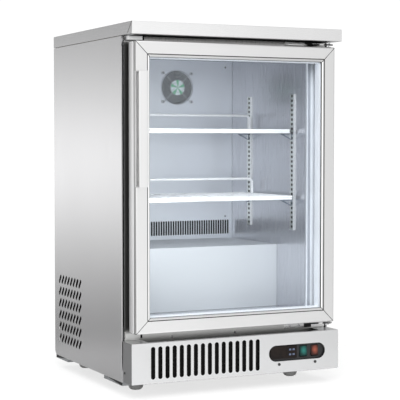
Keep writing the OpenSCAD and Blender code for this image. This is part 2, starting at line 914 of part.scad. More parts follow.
// The motor on its bracket, with the baffle plate that the blades turn in.
module condenser_fan_motor() {
    foot_z = panel_z + floor_pan_t;
    motor_y = condenser_fan_y + 16;
    baffle_left_x = -285;
    color("dimgray") in_place() {
        y_cylinder(condenser_x, motor_y, condenser_fan_z, 34, 46);
        y_cylinder(condenser_x, motor_y - 4, condenser_fan_z, 6, 6);
        translate([condenser_x - 25, motor_y + 20, foot_z]) cube([50, 3, condenser_fan_z - foot_z]);
        translate([condenser_x - 25, motor_y + 20, foot_z]) cube([50, 30, 3]);
        difference() {
            block([baffle_left_x, condenser_fan_y - 24, foot_z], [condenser_x + 122, condenser_fan_y - 22, 310]);
            y_cylinder(condenser_x, condenser_fan_y - 26, condenser_fan_z, 98, 8);
            y_cylinder(liquid_pipe_x, condenser_fan_y - 26, tube_z[0], 7, 8);
        }
    }
}

module condenser_fan_blade() {
    color("black") in_place() translate([condenser_x, condenser_fan_y - 14, condenser_fan_z])
        fan_wheel(24, 92, 5, 24, 32);
}

module refrigerant_pipes() {
    coil_x = condenser_x + condenser_w / 2 + 24;
    color("#b87333") in_place() {
        bent_rod([[coil_x - 13.5, condenser_y + 10, tube_z[3]], [coil_x, condenser_y + 10, tube_z[3]],
            [coil_x, compartment_y + 25, tube_z[3]], [compressor_x, compressor_y - 110, 150],
            [compressor_x, compressor_y - 88, 120], [compressor_x, compressor_y - 73, 120]], 3.2);
        bent_rod([[compressor_x + 30, compressor_y + 76, 100], [compressor_x + 30, compressor_y + 90, 120],
            [compressor_x + 30, 485, 296], [20, 485, 296], [20, 485, 310]], 4);
        bent_rod([[-180.5, condenser_y + 10, tube_z[0]], [liquid_pipe_x, condenser_y + 10, tube_z[0]],
            [liquid_pipe_x, 260, tube_z[0]], [liquid_pipe_x, 298, 100]], 3);
        bent_rod([[liquid_pipe_x, 382, 160], [liquid_pipe_x, 420, 200], [liquid_pipe_x, 485, 290], [-60, 485, 300],
            [-60, 485, 310]], 2);
    }
}

module filter_drier() {
    color("#b87333") in_place()
        rod([liquid_pipe_x, 298.5, 100.4], [liquid_pipe_x, 381.5, 159.6], 10);
}

module power_inlet() {
    back = cabinet_d - 1;
    low_z = 60;
    socket_l = 28;
    socket_h = 22;
    middle_x = (inlet_left_x + inlet_right_x) / 2;
    middle_z = (low_z + inlet_top_z) / 2;
    color("#1a1a1a") in_place() difference() {
        block([inlet_left_x, back - 68, low_z], [inlet_right_x, back, inlet_top_z]);
        block([middle_x - socket_l / 2, back - 20, middle_z - socket_h / 2],
            [middle_x + socket_l / 2, back + 1, middle_z + socket_h / 2]);
    }
}

module drip_tray() {
    low = [-110, 305, panel_z + floor_pan_t + 0.2];
    high = [20, 445, 66];
    wall = 2;
    color("darkgray") in_place() difference() {
        block(low, high);
        block(low + [wall, wall, wall], high + [-wall, -wall, 1]);
    }
}

// A domed screw head on a face, pointing along -Y.
module screw_head(x, y, z, r) {
    rotate_to_face = [90, 0, 0];
    translate([x, y, z]) rotate(rotate_to_face) difference() {
        cylinder(h = 1.4, r = r);
        translate([-r, -0.4, 0.9]) cube([2 * r, 0.8, 1]);
    }
}

module back_screw(x, z) {
    rotate([0, 0, 180]) screw_head(-x, -back_skin_y - sheet, z, 3.2);
}

module case_screws() {
    half = half_w - 1.5;
    color("gray") in_place() {
        for (x = [118.6, 227.2]) screw_head(x, panel_front_y, 60, 3.8);
        both_sides() translate([half, -13.4, 61.7]) rotate([0, 0, 90]) screw_head(0, 0, 0, 3);
        for (x = [-161, 20]) screw_head(x, frame_y, 143, 3.2);
        for (x = [184, 212]) screw_head(x, frame_y - 3.6, 150, 3.2);
        for (x = [184, 212]) screw_head(x, frame_y - 3.6, 901.3, 2.6);
        for (x = [-1, 1], z = [-1, 1])
            screw_head(fan_x + fan_screw_dx * x, duct_y - 3, fan_z + fan_screw_dz * z, 2.6);
        for (x = [-215, 215], z = [420, 860]) screw_head(x, duct_y, z, 3);
        for (x = [-275, 0, 275], z = [325, 895]) back_screw(x, z);
        for (x = [-275, 275], z = [515, 705]) back_screw(x, z);
        for (x = [0, 275], z = [73, 305]) back_screw(x, z);
        back_screw(-275, 305);
    }
}

worktop();
worktop_board();
left_side_panel();
right_side_panel();
back_panel();
rear_service_grille();
front_frame();
inner_liner();
foam_insulation();
compressor_step();
duct_panel();
fan_guard();
evaporator_fan_motor();
evaporator_coil();
pilaster_front_left();
pilaster_front_right();
pilaster_rear_left();
pilaster_rear_right();
shelf_clips();
base_panel();
control_housing();
thermostat_body();
base_frame();
top_hinge_bracket();
bottom_hinge_bracket();
hinge_pins();
corner_plates();
compressor();
compressor_grommets();
condenser_coil();
condenser_fan_motor();
refrigerant_pipes();
filter_drier();
power_inlet();
drip_tray();
case_screws();
door_left_stile();
door_right_stile();
door_top_rail();
door_bottom_rail();
outer_glass();
inner_glass();
glass_spacer();
door_gasket();
door_handle();
door_bushes();
evaporator_fan_blade();
condenser_fan_blade();
green_rocker();
red_rocker();
button_up();
button_down();
button_set();
button_defrost();
upper_shelf();
lower_shelf();
foot_front_left();
foot_front_right();
foot_rear_left();
foot_rear_right();
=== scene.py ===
"""Looks for an under counter fridge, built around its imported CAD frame."""

import functools
import json
import math

import bmesh
import bpy
from mathutils import Matrix, Vector


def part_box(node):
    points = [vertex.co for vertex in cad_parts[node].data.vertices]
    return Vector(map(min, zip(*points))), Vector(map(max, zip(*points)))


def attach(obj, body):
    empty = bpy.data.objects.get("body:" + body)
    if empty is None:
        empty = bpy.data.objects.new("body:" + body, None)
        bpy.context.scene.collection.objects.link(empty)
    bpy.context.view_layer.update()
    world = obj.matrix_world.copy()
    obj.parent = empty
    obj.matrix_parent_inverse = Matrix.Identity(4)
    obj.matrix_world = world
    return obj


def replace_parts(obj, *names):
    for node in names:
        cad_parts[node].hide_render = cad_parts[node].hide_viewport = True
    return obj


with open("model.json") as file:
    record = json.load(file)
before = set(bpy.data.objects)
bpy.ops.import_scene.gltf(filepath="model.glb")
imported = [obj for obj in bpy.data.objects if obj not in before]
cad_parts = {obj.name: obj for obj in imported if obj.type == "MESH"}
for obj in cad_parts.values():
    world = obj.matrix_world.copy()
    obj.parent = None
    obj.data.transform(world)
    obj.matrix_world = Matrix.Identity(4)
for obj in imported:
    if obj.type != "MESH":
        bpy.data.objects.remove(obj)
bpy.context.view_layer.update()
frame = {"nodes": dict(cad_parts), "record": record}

MM = 0.001
box = functools.cache(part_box)
# How far the hub's label lies behind the fan guard's front.
HUB_SUNK = 0.15 * MM
# Distances of the two ends of a hinge plate's web from the plate's right end.
HINGE_WEB = (64 * MM, 41 * MM)
# Width of the front strip of the door's side, painted darker as shade, behind which its side is a second
# section.
DOOR_EDGE_W = 14 * MM
# Distances from a door member's outer edge between which its joint with the glazing bead lies.
BEAD_JOINT = (30.9 * MM, 33.5 * MM)
# The side panels' air vents: their middle from the rear edge and from the bottom.
VENT_MIDDLE = (119 * MM, 133 * MM)
# Depth and height of the field of air vents.
VENT_FIELD = (188 * MM, 216 * MM)
# Height of the field of slots in the base panel.
BASE_VENT_H = 92 * MM
PILASTERS = ("pilaster_front_left", "pilaster_front_right", "pilaster_rear_left", "pilaster_rear_right")
FEET = ("foot_front_left", "foot_front_right", "foot_rear_left", "foot_rear_right")
KEYS = ("button_up", "button_down", "button_set", "button_defrost")


# ---- Camera, light and floor ----

CAMERA_FROM_WORKTOP = Vector((-1.549, -2.967, 0.642))
CAMERA_YAW = math.radians(25.79)
CAMERA_PITCH = math.radians(-2.56)
CAMERA_LENS = 118.15
FLOOR_RADIUS = 1.1
# Brightness of the room by height, from straight down at 0 to straight up at 1.
FRONT_SKY = ((0.0, 0.50), (0.40, 0.72), (0.46, 0.98), (0.55, 1.0), (0.62, 0.75), (1.0, 0.6))
REAR_SKY = ((0.0, 0.2), (0.40, 0.24), (0.435, 0.42), (0.465, 0.95), (0.487, 1.6), (0.505, 1.4), (0.52, 0.95),
            (0.54, 0.62), (0.6, 0.45), (1.0, 0.45))
# How much brighter the front of the room is, by direction from the left at 0 to the right at 1.
SIDEWAYS = ((0.0, 1.3), (0.28, 1.75), (0.45, 1.45), (0.66, 1.18), (0.72, 0.94), (0.80, 0.62), (1.0, 0.6))
# Keeps the gradients' colours within 1, and the room's strength brings them back.
SKY_SCALE = 2.0
BACKDROP_STRENGTH = 1.05
# The front and the rear of the room blend between these directions along Y.
ROOM_BLEND = 0.35


def add_camera():
    """The camera, in front and to the left, a little above the middle."""
    level = math.cos(CAMERA_PITCH)
    looks = Vector((math.sin(CAMERA_YAW) * level, math.cos(CAMERA_YAW) * level, math.sin(CAMERA_PITCH)))
    data = bpy.data.cameras.new("camera")
    data.lens = CAMERA_LENS
    camera = bpy.data.objects.new("camera", data)
    camera.location = CAMERA_FROM_WORKTOP + Vector((0, box("worktop")[0].y, 0))
    camera.rotation_mode = "QUATERNION"
    camera.rotation_quaternion = looks.to_track_quat("-Z", "Y")
    bpy.context.scene.collection.objects.link(camera)
    bpy.context.scene.camera = camera


def add_softbox(name, at, aim, size, power, tint=(1, 1, 1)):
    """A soft area light at a point, aimed at another point, that no mirror shows."""
    data = bpy.data.lights.new(name, "AREA")
    data.shape = "RECTANGLE"
    data.size, data.size_y = size
    data.energy = power
    data.color = tint
    light = bpy.data.objects.new(name, data)
    light.location = at
    light.rotation_mode = "QUATERNION"
    light.rotation_quaternion = (Vector(aim) - Vector(at)).to_track_quat("-Z", "Y")
    light.visible_camera = False
    light.visible_glossy = False
    bpy.context.scene.collection.objects.link(light)


def sky_ramp(tree, factor, stops):
    """A grey gradient over a factor from 0 to 1."""
    ramp = tree.nodes.new("ShaderNodeValToRGB")
    elements = ramp.color_ramp.elements
    elements[0].position, elements[1].position = stops[0][0], stops[-1][0]
    for position, _ in stops[1:-1]:
        elements.new(position)
    for element, (_, value) in zip(elements, stops):
        shade = value / SKY_SCALE
        element.color = (shade, shade, shade, 1)
    tree.links.new(factor, ramp.inputs[0])
    return ramp.outputs[0]


def add_world():
    """A white backdrop for the camera, and a soft room for everything else."""
    world = bpy.data.worlds.new("studio")
    world.use_nodes = True
    bpy.context.scene.world = world
    tree = world.node_tree
    link = tree.links.new
    tree.nodes.clear()
    coordinate = tree.nodes.new("ShaderNodeTexCoord")
    split = tree.nodes.new("ShaderNodeSeparateXYZ")
    link(coordinate.outputs["Generated"], split.inputs[0])
    height = tree.nodes.new("ShaderNodeMapRange")
    height.inputs["From Min"].default_value = -1.0
    link(split.outputs["Z"], height.inputs["Value"])
    across = tree.nodes.new("ShaderNodeMapRange")
    across.inputs["From Min"].default_value = -1.0
    link(split.outputs["X"], across.inputs["Value"])
    front = tree.nodes.new("ShaderNodeVectorMath")
    front.operation = "MULTIPLY"
    link(sky_ramp(tree, height.outputs[0], FRONT_SKY), front.inputs[0])
    link(sky_ramp(tree, across.outputs[0], SIDEWAYS), front.inputs[1])
    doubled = tree.nodes.new("ShaderNodeVectorMath")
    doubled.operation = "SCALE"
    doubled.inputs["Scale"].default_value = SKY_SCALE
    link(front.outputs[0], doubled.inputs[0])
    rear = sky_ramp(tree, height.outputs[0], REAR_SKY)
    facing = tree.nodes.new("ShaderNodeMapRange")
    facing.inputs["From Min"].default_value = -ROOM_BLEND
    facing.inputs["From Max"].default_value = ROOM_BLEND
    link(split.outputs["Y"], facing.inputs["Value"])
    sides = tree.nodes.new("ShaderNodeMix")
    sides.data_type = "RGBA"
    link(facing.outputs[0], sides.inputs["Factor"])
    link(doubled.outputs[0], sides.inputs["A"])
    link(rear, sides.inputs["B"])
    room = tree.nodes.new("ShaderNodeBackground")
    room.inputs["Strength"].default_value = SKY_SCALE
    link(sides.outputs["Result"], room.inputs["Color"])
    backdrop = tree.nodes.new("ShaderNodeBackground")
    backdrop.inputs["Color"].default_value = (1, 1, 1, 1)
    backdrop.inputs["Strength"].default_value = BACKDROP_STRENGTH
    path = tree.nodes.new("ShaderNodeLightPath")
    mix = tree.nodes.new("ShaderNodeMixShader")
    link(path.outputs["Is Camera Ray"], mix.inputs[0])
    link(room.outputs[0], mix.inputs[1])
    link(backdrop.outputs[0], mix.inputs[2])
    out = tree.nodes.new("ShaderNodeOutputWorld")
    link(mix.outputs[0], out.inputs[0])


def add_floor():
    """A round pale floor, level with the feet, that fades into the backdrop at its rim."""
    mesh = bmesh.new()
    bmesh.ops.create_circle(mesh, cap_ends=True, segments=96, radius=FLOOR_RADIUS)
    data = bpy.data.meshes.new("floor")
    mesh.to_mesh(data)
    mesh.free()
    floor = bpy.data.objects.new("floor", data)
    floor.location.z = -0.0005
    bpy.context.scene.collection.objects.link(floor)
    pale = Surface("pale_floor", (0.95, 0.95, 0.95), roughness=0.8)
    pale.vary_roughness(pale.noise(6), 0.7, 0.85)
    distance = pale.nodes.new("ShaderNodeVectorMath")
    distance.operation = "LENGTH"
    pale.link(pale.coordinate, distance.inputs[0])
    fade = pale.remap(distance.outputs["Value"], 0.3, 0.0, 0.6 * FLOOR_RADIUS, 0.98 * FLOOR_RADIUS)
    pale.link(fade, pale.shader.inputs["Alpha"])
    floor.data.materials.append(pale.material)


def light_studio():
    add_world()
    add_floor()
    add_softbox("key", (-1.9, -3.4, 3.0), (0, 0, 0.5), (2.4, 2.4), 150)
    add_softbox("fill", (2.6, -2.8, 1.4), (0, 0, 0.5), (2.2, 2.6), 35)
    add_softbox("storage", (-0.225, -0.19, 0.60), (0.1, 0.1, 0.62), (0.012, 0.5), 0.8, (0.96, 0.98, 1.0))
    add_softbox("top", (0, 0.2, 3.4), (0, 0, 0), (3.0, 3.0), 45)


# ---- Materials ----


class Surface:
    """A procedural material on one Principled shader, with layers of noise for its detail."""

    def __init__(self, name, colour, roughness=0.5, metallic=0.0, **settings):
        """Further settings are the shader's own sockets, with _ for each space in their names."""
        self.material = bpy.data.materials.new(name)
        self.material.use_nodes = True
        self.nodes = self.material.node_tree.nodes
        self.link = self.material.node_tree.links.new
        self.shader = self.nodes["Principled BSDF"]
        self.shader.inputs["Base Color"].default_value = (*colour, 1)
        self.shader.inputs["Roughness"].default_value = roughness
        self.shader.inputs["Metallic"].default_value = metallic
        for label, value in settings.items():
            self.shader.inputs[label.replace("_", " ")].default_value = value
        self.height = None
        self.coordinate = self.nodes.new("ShaderNodeTexCoord").outputs["Object"]

    def stretched(self, stretch):
        mapping = self.nodes.new("ShaderNodeMapping")
        mapping.inputs["Scale"].default_value = stretch
        self.link(self.coordinate, mapping.inputs["Vector"])
        return mapping.outputs[0]

    def noise(self, scale, stretch=(1, 1, 1), detail=4.0, distortion=0.0):
        """Noise at a scale in features per metre, drawn out along an axis by a small stretch value."""
        node = self.nodes.new("ShaderNodeTexNoise")
        node.inputs["Scale"].default_value = scale
        node.inputs["Detail"].default_value = detail
        node.inputs["Distortion"].default_value = distortion
        self.link(self.stretched(stretch), node.inputs["Vector"])
        return node.outputs["Fac"]

    def cells(self, scale, stretch=(1, 1, 1), output="Distance"):
        node = self.nodes.new("ShaderNodeTexVoronoi")
        node.inputs["Scale"].default_value = scale
        self.link(self.stretched(stretch), node.inputs["Vector"])
        return node.outputs[output]

    def remap(self, factor, low, high, from_low=0.3, from_high=0.7):
        node = self.nodes.new("ShaderNodeMapRange")
        node.inputs["From Min"].default_value = from_low
        node.inputs["From Max"].default_value = from_high
        node.inputs["To Min"].default_value = low
        node.inputs["To Max"].default_value = high
        self.link(factor, node.inputs["Value"])
        return node.outputs[0]

    def vary_roughness(self, factor, low, high):
        self.link(self.remap(factor, low, high), self.shader.inputs["Roughness"])

    def vary_colour(self, factor, first, second, from_low=0.3, from_high=0.7):
        mix = self.nodes.new("ShaderNodeMix")
        mix.data_type = "RGBA"
        mix.inputs["A"].default_value = (*first, 1)
        mix.inputs["B"].default_value = (*second, 1)
        self.link(self.remap(factor, 0, 1, from_low, from_high), mix.inputs["Factor"])
        self.link(mix.outputs["Result"], self.shader.inputs["Base Color"])

    def bump(self, factor, strength, distance):
        """Raises the surface by a factor, on top of any bump made before."""
        node = self.nodes.new("ShaderNodeBump")
        node.inputs["Strength"].default_value = strength
        node.inputs["Distance"].default_value = distance
        self.link(factor, node.inputs["Height"])
        if self.height is not None:
            self.link(self.height, node.inputs["Normal"])
        self.link(node.outputs[0], self.shader.inputs["Normal"])
        self.height = node.outputs[0]


def tinted(colour, factor):
    return tuple(value * factor for value in colour)


def brushed_steel(name, colour, roughness, along, metallic=1.0):
    """Stainless sheet with a fine brushed grain along one axis, and faint smears from handling."""
    grain = [1.0, 1.0, 1.0]
    grain["XYZ".index(along)] = 0.004
    steel = Surface(name, colour, roughness, metallic=metallic)
    fine = steel.noise(2600, grain, detail=2)
    smears = steel.noise(4, (1, 1, 0.6), detail=4, distortion=0.5)
    steel.vary_colour(smears, tinted(colour, 0.975), tinted(colour, 1.015))
    steel.vary_roughness(fine, roughness - 0.04, roughness + 0.04)
    steel.bump(fine, 0.04, 0.0001)
    steel.bump(smears, 0.03, 0.001)
    return steel.material


# Sheet metals: colour, roughness, axis of the brushed grain, and how metallic where not wholly.
STEELS = {
    "casing_side": ((0.60, 0.598, 0.605), 0.22, "Z"),
    # The worktop's side lips, front and top are copies of one steel, painted darker or lighter for the light
    # on each side.
    "casing_lip_painted_shade": ((0.54, 0.54, 0.545), 0.24, "Y"),
    "casing_front_painted_light": ((0.97, 0.97, 0.972), 0.26, "X"),
    "casing_level_painted_light": ((0.80, 0.80, 0.805), 0.28, "X"),
    "frame_face": ((0.60, 0.595, 0.59), 0.30, "Z"),
    # The frame's uprights beside the door, and its parts below the door, are copies of its steel painted as
    # shade.
    "frame_upright_painted_shade": ((0.22, 0.22, 0.215), 0.34, "X"),
    "frame_below_door_painted_shade": ((0.70, 0.70, 0.69), 0.34, "X"),
    "panel_steel": ((0.86, 0.865, 0.87), 0.34, "X"),
    # The base panel's side returns are a copy of its steel painted dark as shade.
    "panel_return_painted_shade": ((0.26, 0.26, 0.265), 0.34, "Z"),
    "hinge_steel": ((0.80, 0.80, 0.80), 0.26, "X"),
    "clip_steel": ((0.22, 0.25, 0.29), 0.35, "X"),
    "strip_steel": ((0.90, 0.90, 0.88), 0.30, "Z"),
    "liner_steel": ((0.60, 0.606, 0.645), 0.26, "Z", 0.85),
    # The duct panel and the compressor step are copies of the liner steel painted lighter, as painted light.
    "duct_painted_light": ((0.84, 0.865, 0.90), 0.34, "Z", 0.72),
    "step_painted_light": ((0.82, 0.843, 0.86), 0.42, "Z", 0.55),
    "door_upright": ((0.94, 0.94, 0.94), 0.36, "Z"),
    # The front strip of the door's side is a copy of the door steel painted dark as shade.
    "door_edge_painted_shade": ((0.46, 0.46, 0.46), 0.36, "Z"),
    "door_outer": ((0.95, 0.95, 0.95), 0.36, "Z"),
    "door_level": ((0.95, 0.95, 0.95), 0.36, "X"),
    "handle": ((0.97, 0.97, 0.97), 0.34, "Z"),
    # The handle's recess, back and ends are a copy of its steel painted darker as shade.
    "handle_painted_shade": ((0.86, 0.86, 0.86), 0.34, "Z"),
    "spacer_bar": ((0.92, 0.95, 0.99), 0.45, "Z", 0.25),
    "fin_aluminium": ((0.30, 0.31, 0.33), 0.5, "Z"),
}
# Paints and coatings: colour, roughness, and the scale of their orange peel.
PAINTS = {
    "guard_wire": ((0.62, 0.64, 0.65), 0.30, 900),
    # Near black for the base panel's screws, painted as the shade round them.
    "dark_screw": ((0.035, 0.035, 0.035), 0.4, 900),
    # The feet are painted dark as the shade under the cabinet.
    "foot_steel": ((0.23, 0.23, 0.225), 0.32, 900),
    "black_fins": ((0.02, 0.02, 0.021), 0.5, 900),
    "coated_wire": ((0.97, 0.975, 0.98), 0.28, 700),
    "enamel_black": ((0.012, 0.012, 0.013), 0.25, 260),
    "motor_grey": ((0.045, 0.046, 0.05), 0.5, 500),
    # Black for dark joints and seams, and as painted shade on insides, undersides and in the unlit machine
    # compartment.
    "joint_black_and_painted_shade": ((0.02, 0.02, 0.02), 0.8, 400),
}
# Plastics and rubbers: colour and roughness.
MOULDINGS = {
    "breaker": ((0.92, 0.95, 0.99), 0.35),
    # A copy of the trim's plastic painted darker as shade.
    "breaker_painted_shade": ((0.42, 0.44, 0.49), 0.35),
    "plastic_black": ((0.012, 0.012, 0.013), 0.34),
    "key_plastic": ((0.085, 0.105, 0.16), 0.4),
    "nylon": ((0.04, 0.04, 0.04), 0.5),
    "rubber": ((0.018, 0.018, 0.018), 0.75),
}


def make_materials():
    looks = {name: brushed_steel(name, *values) for name, values in STEELS.items()}
    looks.update({name: painted(name, *values) for name, values in PAINTS.items()})
    looks.update({name: moulded(name, *values) for name, values in MOULDINGS.items()})
    # Black, unshiny material for the pads put behind the vents as painted shade.
    looks["shade_felt"] = moulded("shade_felt", (0.006, 0.006, 0.006), 0.95, Specular_IOR_Level=0.05)
    looks["galvanised"] = galvanised()
    looks["zinc"] = zinc()
    looks["smoked"] = smoked()
    looks["green_lens"] = lens("green_lens", (0.003, 0.022, 0.020), (0.018, 0.14, 0.12))
    looks["red_lens"] = lens("red_lens", (0.030, 0.010, 0.008), (0.24, 0.062, 0.038))
    looks["glass"] = clear_glass()
    looks["copper"] = copper()
    looks["foam"] = foam()
    looks["chipboard"] = chipboard()
    looks["hub_label"] = hub_label()
    return looks


def painted(name, colour, roughness, scale):
    """A coat of paint or plastic with a faint orange peel."""
    coat = Surface(name, colour, roughness)
    peel = coat.noise(scale, detail=2)
    patches = coat.noise(14, detail=4)
    coat.vary_colour(patches, tinted(colour, 0.93), tinted(colour, 1.04))
    coat.vary_roughness(patches, roughness - 0.04, roughness + 0.06)
    coat.bump(peel, 0.12, 0.0002)
    return coat.material


def moulded(name, colour, roughness, **settings):
    """Moulded plastic or rubber with a fine spark-eroded texture."""
    plastic = Surface(name, colour, roughness, **settings)
    texture = plastic.noise(3000, detail=2)
    flow = plastic.noise(40, (1, 1, 0.3), detail=3)
    plastic.vary_colour(flow, tinted(colour, 0.9), tinted(colour, 1.1))
    plastic.vary_roughness(texture, roughness - 0.05, roughness + 0.08)
    plastic.bump(texture, 0.15, 0.0001)
    return plastic.material


def galvanised():
    """Zinc coated sheet with its crystal spangle."""
    sheet = Surface("galvanised", (0.34, 0.35, 0.36), 0.42, metallic=1.0)
    spangle = sheet.cells(90, output="Color")
    sheet.vary_colour(spangle, (0.24, 0.25, 0.26), (0.44, 0.45, 0.46), 0.0, 1.0)
    sheet.vary_roughness(spangle, 0.32, 0.55)
    sheet.bump(sheet.noise(300), 0.08, 0.0002)
    return sheet.material


def zinc():
    """Bright plated steel for screws and pins."""
    plated = Surface("zinc", (0.55, 0.55, 0.56), 0.25, metallic=1.0)
    turned = plated.noise(900, (0.2, 0.2, 1), detail=2)
    plated.vary_colour(plated.noise(60), (0.46, 0.46, 0.47), (0.62, 0.62, 0.63))
    plated.vary_roughness(turned, 0.16, 0.34)
    plated.bump(turned, 0.12, 0.0001)
    return plated.material


def smoked():
    """The thermostat's smoked window, glossy and almost black."""
    window = Surface("smoked", (0.008, 0.005, 0.004), 0.16, IOR=1.3)
    window.vary_colour(window.noise(30), (0.005, 0.004, 0.0035), (0.014, 0.009, 0.007))
    window.vary_roughness(window.noise(200), 0.12, 0.20)
    window.bump(window.noise(500, detail=2), 0.03, 0.0001)
    return window.material


def lens(name, dark, light):
    """Translucent rocker plastic, painted lighter in the middle as the glow of a lamp behind it, which is not
    modelled.
    """
    plastic = Surface(name, dark, 0.28, IOR=1.35)
    centred = plastic.nodes.new("ShaderNodeMapping")
    centred.inputs["Location"].default_value = (-0.55, 0, -0.55)
    centred.inputs["Scale"].default_value = (1, 0, 1)
    generated = plastic.nodes.new("ShaderNodeTexCoord").outputs["Generated"]
    plastic.link(generated, centred.inputs["Vector"])
    away = plastic.nodes.new("ShaderNodeVectorMath")
    away.operation = "LENGTH"
    plastic.link(centred.outputs[0], away.inputs[0])
    # Painted glow: light in the middle, fading to the dark rim.
    plastic.vary_colour(away.outputs["Value"], light, dark, 0.08, 0.5)
    plastic.vary_roughness(plastic.noise(1500), 0.22, 0.34)
    plastic.bump(plastic.cells(420), 0.15, 0.0003)
    return plastic.material


def copper():
    """Drawn copper tube with patches of tarnish."""
    tube = Surface("copper", (0.66, 0.33, 0.2), 0.3, metallic=1.0)
    tarnish = tube.noise(35, detail=5)
    tube.vary_colour(tarnish, (0.42, 0.19, 0.12), (0.72, 0.38, 0.24))
    tube.vary_roughness(tarnish, 0.5, 0.24)
    tube.bump(tube.noise(400, (1, 1, 0.1)), 0.06, 0.0001)
    return tube.material


def foam():
    """Polyurethane foam, with its skin of small bubbles."""
    block = Surface("foam", (0.75, 0.62, 0.33), 0.9)
    bubbles = block.cells(500)
    block.vary_colour(block.noise(25, detail=5), (0.60, 0.46, 0.22), (0.82, 0.70, 0.42))
    block.vary_roughness(bubbles, 0.8, 0.95)
    block.bump(bubbles, 0.4, 0.0006)
    return block.material


def chipboard():
    """The worktop's board, with flakes of wood."""
    board = Surface("chipboard", (0.55, 0.40, 0.24), 0.8)
    flakes = board.cells(260, (1, 1, 2.5), output="Color")
    board.vary_colour(flakes, (0.36, 0.24, 0.13), (0.68, 0.52, 0.33), 0.0, 1.0)
    board.vary_roughness(flakes, 0.7, 0.9)
    board.bump(flakes, 0.3, 0.0003)
    return board.material


def clear_glass():
    """A clear pane: light passes straight through, and its outward faces mirror a little."""
    glass = bpy.data.materials.new("glass")
    glass.use_nodes = True
    nodes, link = glass.node_tree.nodes, glass.node_tree.links.new
    nodes.clear()
    through = nodes.new("ShaderNodeBsdfTransparent")
    through.inputs["Color"].default_value = (0.979, 0.986, 0.992, 1)
    mirror = nodes.new("ShaderNodeBsdfGlossy")
    mirror.inputs["Color"].default_value = (0.95, 0.97, 1.0, 1)
    mirror.inputs["Roughness"].default_value = 0.02
    fresnel = nodes.new("ShaderNodeFresnel")
    fresnel.inputs["IOR"].default_value = 1.22
    outside = nodes.new("ShaderNodeMath")
    outside.operation = "SUBTRACT"
    outside.inputs[0].default_value = 1.0
    outward = nodes.new("ShaderNodeMath")
    outward.operation = "MULTIPLY"
    mix = nodes.new("ShaderNodeMixShader")
    out = nodes.new("ShaderNodeOutputMaterial")
    link(nodes.new("ShaderNodeNewGeometry").outputs["Backfacing"], outside.inputs[1])
    link(fresnel.outputs[0], outward.inputs[0])
    link(outside.outputs[0], outward.inputs[1])
    link(outward.outputs[0], mix.inputs[0])
    link(through.outputs[0], mix.inputs[1])
    link(mirror.outputs[0], mix.inputs[2])
    link(mix.outputs[0], out.inputs["Surface"])
    return glass


def hub_label():
    """The foil label on the fan's hub: silver with soft green sectors."""
    foil = Surface("hub_label", (0.62, 0.74, 0.70), 0.3, metallic=0.2)
    low, high = box("evaporator_fan_motor")
    middle = (low + high) / 2
    centred = foil.nodes.new("ShaderNodeMapping")
    centred.inputs["Location"].default_value = -middle
    foil.link(foil.coordinate, centred.inputs["Vector"])
    split = foil.nodes.new("ShaderNodeSeparateXYZ")
    foil.link(centred.outputs[0], split.inputs[0])
    angle = foil.nodes.new("ShaderNodeMath")
    angle.operation = "ARCTAN2"
    foil.link(split.outputs["Z"], angle.inputs[0])
    foil.link(split.outputs["X"], angle.inputs[1])
    sectors = foil.nodes.new("ShaderNodeMath")
    sectors.operation = "MULTIPLY"
    sectors.inputs[1].default_value = 5
    foil.link(angle.outputs[0], sectors.inputs[0])
    wave = foil.nodes.new("ShaderNodeMath")
    wave.operation = "SINE"
    foil.link(sectors.outputs[0], wave.inputs[0])
    foil.vary_colour(wave.outputs[0], (0.90, 0.97, 0.97), (0.30, 0.68, 0.45), -0.2, 0.9)
    foil.vary_roughness(foil.noise(300), 0.2, 0.4)
    foil.bump(foil.noise(500, detail=2), 0.05, 0.0001)
    return foil.material


# ---- Meshes ----


def whole_faced(node):
    """A CAD node's mesh with its split corners joined and its flat faces whole again."""
    mesh = bmesh.new()
    mesh.from_mesh(frame["nodes"][node].data)
    bmesh.ops.remove_doubles(mesh, verts=mesh.verts, dist=0.002 * MM)
    bmesh.ops.dissolve_limit(mesh, angle_limit=math.radians(0.4), verts=mesh.verts, edges=mesh.edges)
    return mesh


def thin(face, limit=3.0 * MM):
    """True for a narrow face, such as the cut edge of a sheet."""
    longest = max(edge.calc_length() for edge in face.edges)
    return face.calc_area() < limit * longest


def soften(mesh, fold, rim):
    """Rounds the folds between broad faces by one width, and the rims of thin faces by another."""
    for width, wants_thin in ((fold, False), (rim, True)):
        if not width:
            continue
        edges = [
            edge for edge in mesh.edges
            if len(edge.link_faces) == 2
            and edge.calc_face_angle(0) > math.radians(35)
            and any(thin(face) for face in edge.link_faces) == wants_thin
        ]
        bmesh.ops.bevel(
            mesh, geom=edges, offset=width, segments=3 if not wants_thin else 2, profile=0.5,
            affect="EDGES", clamp_overlap=True,
        )


def as_piece(mesh, name, body, looks):
    """Turns a bmesh into a smooth-shaded piece that rides on a body."""
    data = bpy.data.meshes.new(name)
    for face in mesh.faces:
        face.smooth = True
    mesh.to_mesh(data)
    mesh.free()
    piece = bpy.data.objects.new(name, data)
    bpy.context.scene.collection.objects.link(piece)
    for look in looks:
        data.materials.append(look)
    normals = piece.modifiers.new("even_normals", "WEIGHTED_NORMAL")
    normals.weight = 100
    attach(piece, body)
    return piece


def body_of(node):
    return next(name for name, nodes in frame["record"]["behaviour"]["bodies"].items() if node in nodes)


